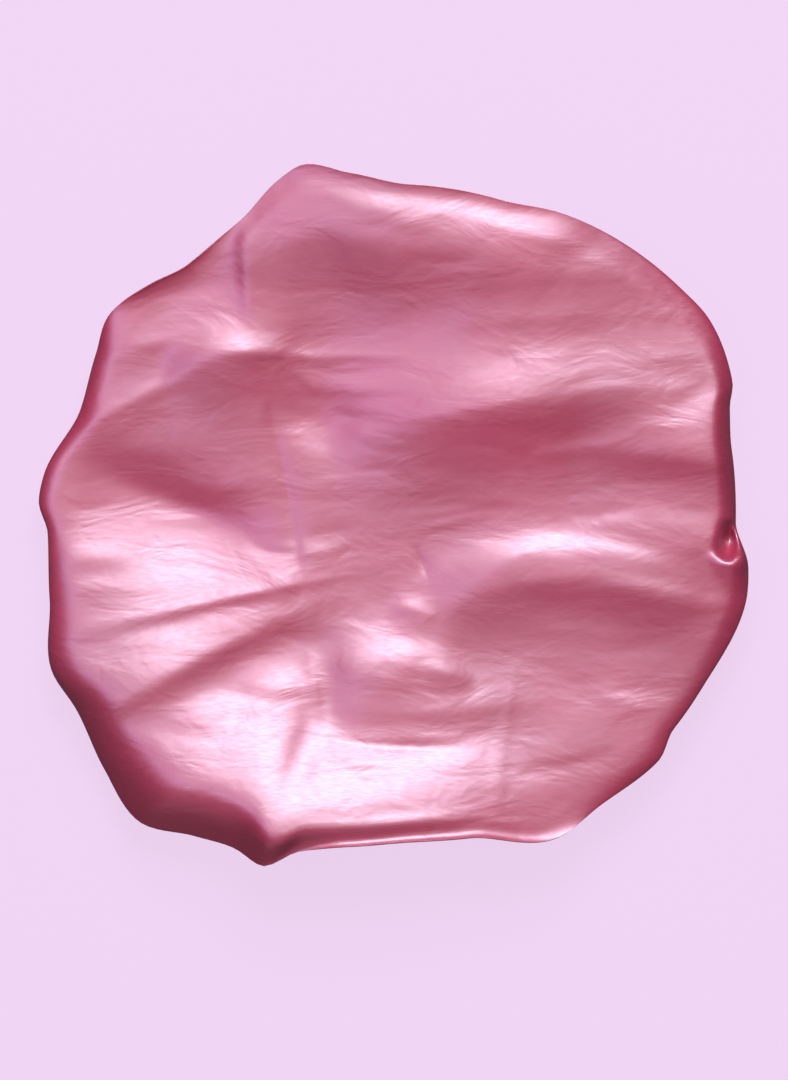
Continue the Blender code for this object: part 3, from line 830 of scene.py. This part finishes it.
class BONNET_OT_add_crown(bpy.types.Operator):
    """Add the round of satin, puffed up, rolled under and gathered to the mouth"""

    bl_idname = "bonnet.add_crown"
    bl_label = "Crown"

    def execute(self, context):
        sizes = context.scene.bonnet_crown
        casing = context.scene.bonnet_casing
        step_count = sizes.gathers * STEPS_PER_GATHER
        directions = step_directions(step_count)
        edge = edge_plan(directions, sizes)
        rings = middle_rings(edge, directions, sizes) + wall_rings(edge, directions, sizes)
        rings += roll_rings(edge, rings[-1][:, 2], directions, sizes)
        rings += under_rings(rings[-1][:, :2], directions, sizes, casing)
        rings = np.array(rings)
        points = np.concatenate([rings[0][:1], rings[1:].reshape(-1, 3)])
        steps = np.arange(step_count)
        fan = np.column_stack([np.zeros(step_count, int), 1 + steps, 1 + np.roll(steps, -1)])
        quads = ring_faces(len(rings) - 1, step_count, 1)
        mesh = bpy.data.meshes.new("crown_cloth")
        mesh.from_pydata(points.tolist(), [], fan.tolist() + quads.tolist())
        cut = self.cut_places(rings, edge, sizes)
        layer = mesh.uv_layers.new(name="cut")
        corners = np.empty(len(mesh.loops), dtype=np.int32)
        mesh.loops.foreach_get("vertex_index", corners)
        layer.data.foreach_set("uv", cut[corners].ravel())
        mesh.shade_smooth()
        mesh.materials.append(satin_material("woven polyester satin", sizes.satin, sizes.cut_width))
        mesh.materials.append(satin_back_material(sizes.satin_back, sizes.cut_width))
        crown = new_object("crown_cloth", mesh)
        wall = crown.modifiers.new("cloth", "SOLIDIFY")
        wall.thickness = sizes.cloth_wall
        wall.offset = -1
        wall.material_offset = 1
        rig.replaces(crown, "crown")
        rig.ride(crown, "root")
        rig.slot(crown, "satin")
        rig.sheet(
            crown,
            flat=(sizes.cut_width, sizes.cut_width),
            held="gathered",
            rests_on=["elastic_casing_cloth"],
            area=math.pi * (sizes.cut_width / 2) ** 2,
        )
        return {"FINISHED"}

    def cut_places(self, rings, edge, sizes):
        """Where each point lies on the flat round, from 0 to 1 across it."""
        lengths = np.cumsum(np.linalg.norm(np.diff(rings, axis=0), axis=2), axis=0)
        outwards = edge / np.linalg.norm(edge, axis=1)[:, None]
        places = 0.5 + lengths[:, :, None] * outwards / sizes.cut_width
        return np.concatenate([[[0.5, 0.5]], places.reshape(-1, 2)])


class BONNET_OT_add_casing(bpy.types.Operator):
    """Add the ruched casing that holds the elastic round the mouth"""

    bl_idname = "bonnet.add_casing"
    bl_label = "Casing"

    def execute(self, context):
        sizes = context.scene.bonnet_casing
        cut_width = context.scene.bonnet_crown.cut_width
        step_count = sizes.ruches * STEPS_PER_RUCHE
        turns = np.arange(step_count) * 2 * math.pi / step_count
        sides = np.arange(CASING_SIDES) * 2 * math.pi / CASING_SIDES
        ruche = np.abs(np.sin(turns * sizes.ruches / 2))
        rings = []
        for side in sides:
            radius = sizes.mouth_radius + sizes.width / 2 * (1 - math.cos(side))
            inset = sizes.ruche_depth * (1 - ruche)
            half = sizes.thickness / 2 - inset
            height = sizes.thickness / 2 + half * math.sin(side)
            rings.append(np.column_stack([radius * np.cos(turns), radius * np.sin(turns), height]))
        rings.append(rings[0])
        points = np.concatenate(rings[:-1])
        faces = ring_faces(len(rings), step_count, 0) % len(points)
        mesh = bpy.data.meshes.new("elastic_casing_cloth")
        mesh.from_pydata(points.tolist(), [], faces[:, ::-1].tolist())
        self.lay_cloth(mesh, step_count, sizes, cut_width)
        mesh.shade_smooth()
        mesh.materials.append(satin_material("ruched polyester satin", sizes.satin, cut_width))
        casing = new_object("elastic_casing_cloth", mesh)
        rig.replaces(casing, "elastic_casing")
        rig.ride(casing, "root")
        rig.slot(casing, "ruched_satin")
        return {"FINISHED"}

    def lay_cloth(self, mesh, step_count, sizes, cut_width):
        """Map the casing's strip, twice as long as its ring, on the scale of the crown's round."""
        length = 4 * math.pi * sizes.mouth_radius / cut_width
        breadth = 2 * (sizes.width + sizes.thickness) / cut_width
        layer = mesh.uv_layers.new(name="cut")
        for polygon in mesh.polygons:
            sides = [mesh.loops[i].vertex_index // step_count for i in polygon.loop_indices]
            steps = [mesh.loops[i].vertex_index % step_count for i in polygon.loop_indices]
            for i, side, step in zip(polygon.loop_indices, sides, steps):
                side += CASING_SIDES if side == 0 and max(sides) > 1 else 0
                step += step_count if step == 0 and max(steps) > 1 else 0
                layer.data[i].uv = (step / step_count * length, side / CASING_SIDES * breadth)


class BONNET_OT_add_stitches(bpy.types.Operator):
    """Add the two rows of stitches that hold the casing closed and the gathers in it"""

    bl_idname = "bonnet.add_stitches"
    bl_label = "Stitches"

    def execute(self, context):
        sizes = context.scene.bonnet_casing
        mesh = bpy.data.meshes.new("casing_stitches")
        stitches = new_object("casing_stitches", mesh)
        thread = thread_material(sizes.thread)
        modifier = stitches.modifiers.new("stitches", "NODES")
        modifier.node_group = self.stitch_rows(thread)
        inner, outer = (sizes.mouth_radius + share * sizes.width for share in STITCH_ROWS)
        values = {
            "Count": sizes.stitches,
            "Inner Radius": inner,
            "Outer Radius": outer,
            "Height": self.height_under(STITCH_ROWS[1], sizes),
            "Stitch Length": sizes.stitch_length,
            "Stitch Width": sizes.stitch_width,
        }
        for socket in modifier.node_group.interface.items_tree:
            if socket.item_type == "SOCKET" and socket.in_out == "INPUT":
                modifier[socket.identifier] = values[socket.name]
        context.view_layer.update()
        evaluated = stitches.evaluated_get(context.evaluated_depsgraph_get())
        baked = bpy.data.meshes.new_from_object(evaluated)
        stitches.modifiers.remove(modifier)
        stitches.data = baked
        baked.name = "casing_stitches"
        baked.shade_smooth()
        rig.ride(stitches, "root")
        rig.slot(stitches, "ruched_satin")
        return {"FINISHED"}

    def height_under(self, share, sizes):
        """Height of the casing's underside at a share of its width, with the thread sunk in."""
        fall = math.sqrt(1 - (1 - 2 * share) ** 2)
        return sizes.thickness / 2 * (1 - fall) + THREAD_SINK * sizes.stitch_width

    def stitch_rows(self, thread):
        """Two rings of short round stitches, each one turned along its ring."""
        tree = bpy.data.node_groups.new("stitch rows", "GeometryNodeTree")
        for name, kind in (
            ("Count", "NodeSocketInt"),
            ("Inner Radius", "NodeSocketFloat"),
            ("Outer Radius", "NodeSocketFloat"),
            ("Height", "NodeSocketFloat"),
            ("Stitch Length", "NodeSocketFloat"),
            ("Stitch Width", "NodeSocketFloat"),
        ):
            tree.interface.new_socket(name, in_out="INPUT", socket_type=kind)
        tree.interface.new_socket("Geometry", in_out="OUTPUT", socket_type="NodeSocketGeometry")
        given = add_node(tree, "NodeGroupInput").outputs
        ball = add_node(
            tree, "GeometryNodeMeshUVSphere", {"Segments": 8, "Rings": 5, "Radius": 0.5}
        ).outputs["Mesh"]
        size = add_node(
            tree,
            "ShaderNodeCombineXYZ",
            {"X": given["Stitch Length"], "Y": given["Stitch Width"], "Z": given["Stitch Width"]},
        ).outputs["Vector"]
        index = add_node(tree, "GeometryNodeInputIndex").outputs["Index"]
        turn = add_node(tree, "ShaderNodeMath", {0: math.tau, 1: given["Count"]}, operation="DIVIDE")
        angle = add_node(
            tree,
            "ShaderNodeMath",
            {0: index, 1: turn.outputs["Value"], 2: math.pi / 2},
            operation="MULTIPLY_ADD",
        ).outputs["Value"]
        heading = add_node(tree, "ShaderNodeCombineXYZ", {"Z": angle}).outputs["Vector"]
        lift = add_node(tree, "ShaderNodeCombineXYZ", {"Z": given["Height"]}).outputs["Vector"]
        rows = add_node(tree, "GeometryNodeJoinGeometry")
        for radius in ("Inner Radius", "Outer Radius"):
            ring = add_node(
                tree, "GeometryNodeMeshCircle", {"Vertices": given["Count"], "Radius": given[radius]}
            )
            row = add_node(
                tree,
                "GeometryNodeInstanceOnPoints",
                {"Points": ring.outputs["Mesh"], "Instance": ball, "Rotation": heading, "Scale": size},
            )
            placed = add_node(
                tree,
                "GeometryNodeTranslateInstances",
                {"Instances": row.outputs["Instances"], "Translation": lift},
            )
            tree.links.new(placed.outputs["Instances"], rows.inputs["Geometry"])
        solid = add_node(tree, "GeometryNodeRealizeInstances", {"Geometry": rows.outputs["Geometry"]})
        finished = add_node(
            tree,
            "GeometryNodeSetMaterial",
            {"Geometry": solid.outputs["Geometry"], "Material": thread},
        )
        add_node(tree, "NodeGroupOutput", {"Geometry": finished.outputs["Geometry"]})
        return tree


class BONNET_OT_set_studio(bpy.types.Operator):
    """Set the floor, the lights, the world and the camera"""

    bl_idname = "bonnet.set_studio"
    bl_label = "Studio"

    def execute(self, context):
        studio = context.scene.bonnet_studio
        self.add_floor(studio)
        for kind in ("key", "side", "low", "top"):
            self.add_light(kind, studio)
        world = bpy.data.worlds.new("studio")
        world.use_nodes = True
        background = world.node_tree.nodes["Background"]
        background.inputs["Color"].default_value = (*studio.world, 1)
        background.inputs["Strength"].default_value = studio.world_strength
        context.scene.world = world
        context.scene.view_settings.view_transform = "Standard"
        self.add_camera(context.scene, studio)
        return {"FINISHED"}

    def add_floor(self, studio):
        """A plain pale surface."""
        far = FLOOR_HALF_WIDTH
        mesh = bpy.data.meshes.new("floor")
        corners = [(-far, -far, 0), (far, -far, 0), (far, far, 0), (-far, far, 0)]
        mesh.from_pydata(corners, [], [(0, 1, 2, 3)])
        material = new_material("opal acrylic table, lit from below")
        sockets = {
            "Base Color": (*studio.floor, 1),
            "Roughness": 0.9,
            "Specular IOR Level": 0.1,
            "Emission Color": (*studio.floor, 1),
            "Emission Strength": FLOOR_GLOW,
        }
        finish_material(material.node_tree, sockets)
        mesh.materials.append(material)
        floor = new_object("floor", mesh)
        floor.visible_diffuse = False
        floor.visible_glossy = False
        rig.stage(floor)

    def add_light(self, kind, studio):
        """A soft square light that faces the bonnet, as the studio's settings say for its kind."""
        azimuth = getattr(studio, kind + "_azimuth")
        elevation = getattr(studio, kind + "_elevation")
        light = bpy.data.lights.new(kind + " light", "AREA")
        light.shape = "SQUARE"
        light.size = getattr(studio, kind + "_size")
        light.energy = getattr(studio, kind + "_power")
        light.color = getattr(studio, kind + "_colour")
        level = math.cos(elevation)
        place = Vector((level * math.cos(azimuth), level * math.sin(azimuth), math.sin(elevation)))
        obj = new_object(kind + " light", light)
        obj.location = place * studio.light_distance
        obj.rotation_euler = place.to_track_quat("Z", "Y").to_euler()

    def add_camera(self, scene, studio):
        """A camera that looks straight down, with the picture's framing at the crown's edge."""
        camera = bpy.data.cameras.new("camera")
        camera.sensor_fit = "VERTICAL"
        distance = studio.camera_height - studio.framed_height
        camera.lens = camera.sensor_height * distance / (PICTURE_SIZE[1] * METRES_PER_PIXEL)
        obj = new_object("camera", camera)
        obj.location = (
            (PICTURE_MIDDLE[0] - BONNET_MIDDLE[0]) * METRES_PER_PIXEL,
            (BONNET_MIDDLE[1] - PICTURE_MIDDLE[1]) * METRES_PER_PIXEL,
            studio.camera_height,
        )
        scene.camera = obj


class BONNET_PT_panel(bpy.types.Panel):
    """The bonnet's pieces and their settings"""

    bl_idname = "BONNET_PT_panel"
    bl_label = "Sleep bonnet"
    bl_space_type = "VIEW_3D"
    bl_region_type = "UI"
    bl_category = "Bonnet"

    def draw(self, context):
        for operator, settings in (
            (BONNET_OT_add_crown, context.scene.bonnet_crown),
            (BONNET_OT_add_casing, context.scene.bonnet_casing),
            (BONNET_OT_add_stitches, None),
            (BONNET_OT_set_studio, context.scene.bonnet_studio),
        ):
            box = self.layout.box()
            box.operator(operator.bl_idname)
            for name in settings.bl_rna.properties.keys() if settings else ():
                if name not in ("rna_type", "name"):
                    box.prop(settings, name)


SETTINGS = {
    "bonnet_crown": CrownSettings,
    "bonnet_casing": CasingSettings,
    "bonnet_studio": StudioSettings,
}
CLASSES = (
    *SETTINGS.values(),
    BONNET_OT_add_crown,
    BONNET_OT_add_casing,
    BONNET_OT_add_stitches,
    BONNET_OT_set_studio,
    BONNET_PT_panel,
)


def register():
    """Register the classes and the settings."""
    for cls in CLASSES:
        bpy.utils.register_class(cls)
    for name, cls in SETTINGS.items():
        setattr(bpy.types.Scene, name, bpy.props.PointerProperty(type=cls))


def unregister():
    """Take the settings and the classes away again."""
    for name in SETTINGS:
        delattr(bpy.types.Scene, name)
    for cls in reversed(CLASSES):
        bpy.utils.unregister_class(cls)


def main():
    """Build the bonnet and its studio, and write both sizes down."""
    register()
    bpy.ops.bonnet.add_casing()
    bpy.ops.bonnet.add_stitches()
    bpy.ops.bonnet.add_crown()
    bpy.ops.bonnet.set_studio()
    boxes = {"cad": CAD_BOX, "visual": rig.bounds()}
    with open("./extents.json", "w") as file:
        json.dump({name: [list(corner) for corner in box] for name, box in boxes.items()}, file)


if __name__ == "__main__":
    main()
